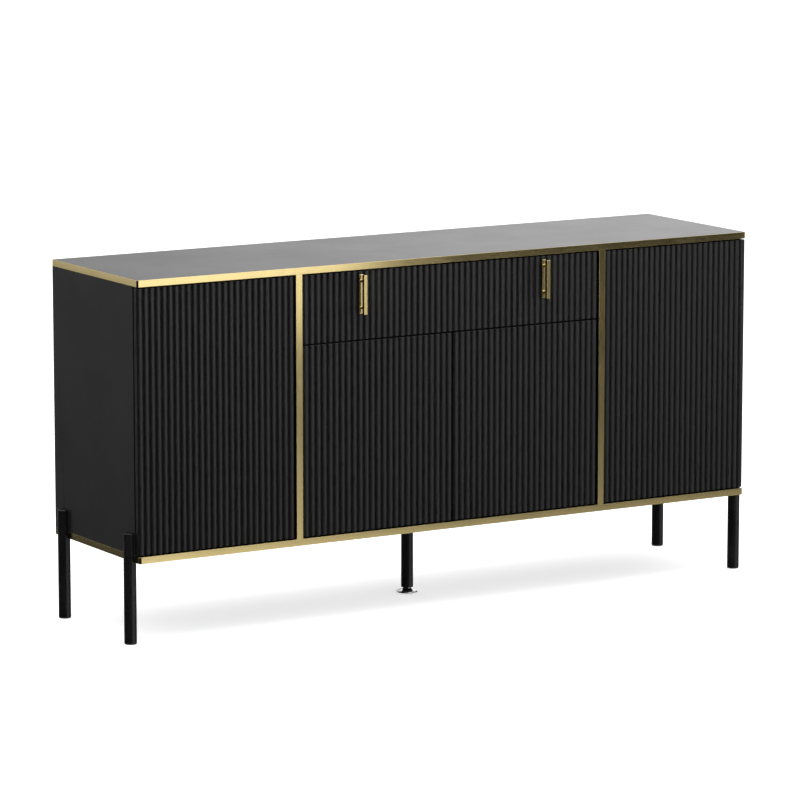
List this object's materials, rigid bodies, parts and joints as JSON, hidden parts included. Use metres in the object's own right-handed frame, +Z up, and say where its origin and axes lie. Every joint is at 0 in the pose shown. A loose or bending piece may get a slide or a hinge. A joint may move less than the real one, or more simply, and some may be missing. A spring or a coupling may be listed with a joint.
{
  "type": "fluted sideboard buffet",
  "caption": "Long black sideboard with fluted doors and drawer, gold edge bands and bar handles, on round tube legs with a centre levelling foot.",
  "frame": {"origin": "on the floor, under the middle of the carcass, where the levelling foot stands", "axes": "+Z up, +X along the cabinet's length to the right as seen from the front, the fronts face -Y"},
  "size_m": [1.634, 0.4245, 0.805],
  "materials": {
    "gloss_top": "black lacquered board, satin gloss",
    "black_board": "black laminated board, matte",
    "hardboard": "thin black hardboard, matte",
    "fluted_black": "routed board under black satin film",
    "drawer_board": "black laminated board, matte",
    "gold_trim": "pale gold, satin",
    "gold_handle": "pale gold, polished",
    "black_leg": "black powder coat, semi-gloss",
    "chrome_foot": "polished",
    "nickel_hinge": "nickel plated",
    "zinc_hardware": "zinc plated",
    "slide_steel": "zinc plated, rolled",
    "dark_plastic": "moulded, matte",
    "plunger_plastic": "moulded, satin"
  },
  "bodies": {
    "root": {"top_panel": "gloss_top", "top_edge_band": "gold_trim", "bottom_edge_band": "gold_trim", "partition_trim_left": "gold_trim", "partition_trim_right": "gold_trim", "bottom_panel": "black_board", "side_panel_left": "black_board", "side_panel_right": "black_board", "partition_left": "black_board", "partition_right": "black_board", "divider_shelf": "black_board", "shelf_left": "black_board", "shelf_centre": "black_board", "shelf_right": "black_board", "back_panel_left": "hardboard", "back_panel_centre": "hardboard", "back_panel_right": "hardboard", "back_panel_screws": "zinc_hardware", "shelf_pins": "zinc_hardware", "cam_locks": "zinc_hardware", "cam_bolts": "zinc_hardware", "hinge_pins": "zinc_hardware", "hinge_screws": "zinc_hardware", "leg_screws": "zinc_hardware", "hinge_arms": "nickel_hinge", "hinge_plates": "nickel_hinge", "slide_outer_members": "slide_steel", "latch_housings": "dark_plastic", "leg_glides": "dark_plastic", "centre_leg_insert": "dark_plastic", "leg_front_left": "black_leg", "leg_front_right": "black_leg", "leg_back_left": "black_leg", "leg_back_right": "black_leg", "centre_leg": "black_leg"},
    "door_outer_left": {"door_outer_left": "fluted_black", "hinge_cups_outer_left": "nickel_hinge"},
    "door_outer_right": {"door_outer_right": "fluted_black", "hinge_cups_outer_right": "nickel_hinge"},
    "door_inner_left": {"door_inner_left": "fluted_black", "hinge_cups_inner_left": "nickel_hinge"},
    "door_inner_right": {"door_inner_right": "fluted_black", "hinge_cups_inner_right": "nickel_hinge"},
    "drawer": {"drawer_front": "fluted_black", "drawer_box_front": "drawer_board", "drawer_side_left": "drawer_board", "drawer_side_right": "drawer_board", "drawer_back": "drawer_board", "drawer_bottom": "drawer_board", "drawer_screws": "zinc_hardware", "drawer_handle_left": "gold_handle", "drawer_handle_right": "gold_handle", "slide_inner_members": "slide_steel"},
    "slide_middle": {"slide_middle_members": "slide_steel"},
    "latch_plunger_outer_left": {"latch_plunger_outer_left": "plunger_plastic"},
    "latch_plunger_outer_right": {"latch_plunger_outer_right": "plunger_plastic"},
    "latch_plunger_inner_left": {"latch_plunger_inner_left": "plunger_plastic"},
    "latch_plunger_inner_right": {"latch_plunger_inner_right": "plunger_plastic"},
    "foot_stud": {"foot_stud": "chrome_foot"},
    "levelling_foot": {"levelling_foot": "chrome_foot"}
  },
  "joints": [
    {"name": "door_outer_left_hinge", "type": "hinge", "parent": "root", "child": "door_outer_left", "pos_m": [-0.7915, -0.1905, 0.494], "axis": [0, 0, -1], "range_deg": [0, 95]},
    {"name": "door_outer_right_hinge", "type": "hinge", "parent": "root", "child": "door_outer_right", "pos_m": [0.7915, -0.1905, 0.494], "axis": [0, 0, 1], "range_deg": [0, 95]},
    {"name": "door_inner_left_hinge", "type": "hinge", "parent": "root", "child": "door_inner_left", "pos_m": [-0.3794, -0.1905, 0.494], "axis": [0, 0, -1], "range_deg": [0, 95]},
    {"name": "door_inner_right_hinge", "type": "hinge", "parent": "root", "child": "door_inner_right", "pos_m": [0.3794, -0.1905, 0.494], "axis": [0, 0, 1], "range_deg": [0, 95]},
    {"name": "drawer_slide", "type": "slide", "parent": "root", "child": "drawer", "axis": [0, -1, 0], "range_m": [0, 0.3]},
    {"name": "slide_middle_run", "type": "slide", "parent": "root", "child": "slide_middle", "axis": [0, -1, 0], "range_m": [0, 0.15]},
    {"name": "latch_outer_left_press", "type": "slide", "parent": "root", "child": "latch_plunger_outer_left", "axis": [0, 1, 0], "range_m": [0, 0.003], "stiffness_N_per_m": 400},
    {"name": "latch_outer_right_press", "type": "slide", "parent": "root", "child": "latch_plunger_outer_right", "axis": [0, 1, 0], "range_m": [0, 0.003], "stiffness_N_per_m": 400},
    {"name": "latch_inner_left_press", "type": "slide", "parent": "root", "child": "latch_plunger_inner_left", "axis": [0, 1, 0], "range_m": [0, 0.003], "stiffness_N_per_m": 400},
    {"name": "latch_inner_right_press", "type": "slide", "parent": "root", "child": "latch_plunger_inner_right", "axis": [0, 1, 0], "range_m": [0, 0.003], "stiffness_N_per_m": 400},
    {"name": "foot_height", "type": "slide", "parent": "root", "child": "foot_stud", "axis": [0, 0, -1], "range_m": [0, 0.01]},
    {"name": "foot_swivel", "type": "hinge", "parent": "foot_stud", "child": "levelling_foot", "pos_m": [0, 0, 0.005], "axis": [0, 0, 1], "continuous": true}
  ],
  "couplings": [
    {"joint": "slide_middle_run", "follows": "drawer_slide", "ratio": 0.5}
  ]
}
